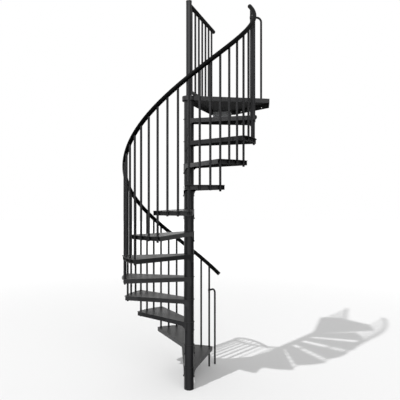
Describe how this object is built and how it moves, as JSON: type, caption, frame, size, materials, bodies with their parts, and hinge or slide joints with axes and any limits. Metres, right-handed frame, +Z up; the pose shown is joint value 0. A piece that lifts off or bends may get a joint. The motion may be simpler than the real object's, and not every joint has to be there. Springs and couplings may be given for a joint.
{
  "type": "spiral staircase",
  "caption": "Steel spiral staircase: round centre pole, folded wedge treads, helical handrail on round balusters, and a pie-shaped landing with a straight guard rail.",
  "frame": {"origin": "centre of the flat foot of the centre pole, on the floor", "axes": "+Z up along the pole; the stair climbs anticlockwise seen from above; its first baluster stands 66.6 degrees anticlockwise from +X and the landing's centre line is 37.3 degrees from +X"},
  "size_m": [1.4807, 1.3797, 3.7299],
  "materials": {
    "powder_coated_steel": "satin black powder coat",
    "powder_coated_bar": "satin black powder coat",
    "black_handrail": "smooth black sleeve",
    "black_fittings": "black fittings",
    "zinc_plated_steel": "zinc-plated steel"
  },
  "bodies": {
    "root": {"centre_pole": "powder_coated_steel", "upper_post": "powder_coated_steel", "post_cap": "black_fittings", "tread_01": "powder_coated_steel", "tread_02": "powder_coated_steel", "tread_03": "powder_coated_steel", "tread_04": "powder_coated_steel", "tread_05": "powder_coated_steel", "tread_06": "powder_coated_steel", "tread_07": "powder_coated_steel", "tread_08": "powder_coated_steel", "tread_09": "powder_coated_steel", "tread_10": "powder_coated_steel", "tread_11": "powder_coated_steel", "tread_12": "powder_coated_steel", "tread_bolts": "black_fittings", "landing": "powder_coated_steel", "landing_edge_plate": "zinc_plated_steel", "balusters_01": "powder_coated_bar", "balusters_02": "powder_coated_bar", "balusters_03": "powder_coated_bar", "balusters_04": "powder_coated_bar", "balusters_05": "powder_coated_bar", "balusters_06": "powder_coated_bar", "balusters_07": "powder_coated_bar", "balusters_08": "powder_coated_bar", "balusters_09": "powder_coated_bar", "balusters_10": "powder_coated_bar", "balusters_11": "powder_coated_bar", "balusters_12": "powder_coated_bar", "balusters_top": "powder_coated_bar", "handrail_1": "black_handrail", "handrail_2": "black_handrail", "handrail_3": "black_handrail", "handrail_4": "black_handrail", "handrail_end_caps": "black_handrail", "landing_top_rail": "black_handrail", "landing_bottom_rail": "powder_coated_steel", "landing_balusters": "powder_coated_bar", "foot_gap_bar": "powder_coated_bar", "landing_gap_bar": "powder_coated_bar", "gap_bar_collars": "black_fittings"}
  },
  "joints": []
}
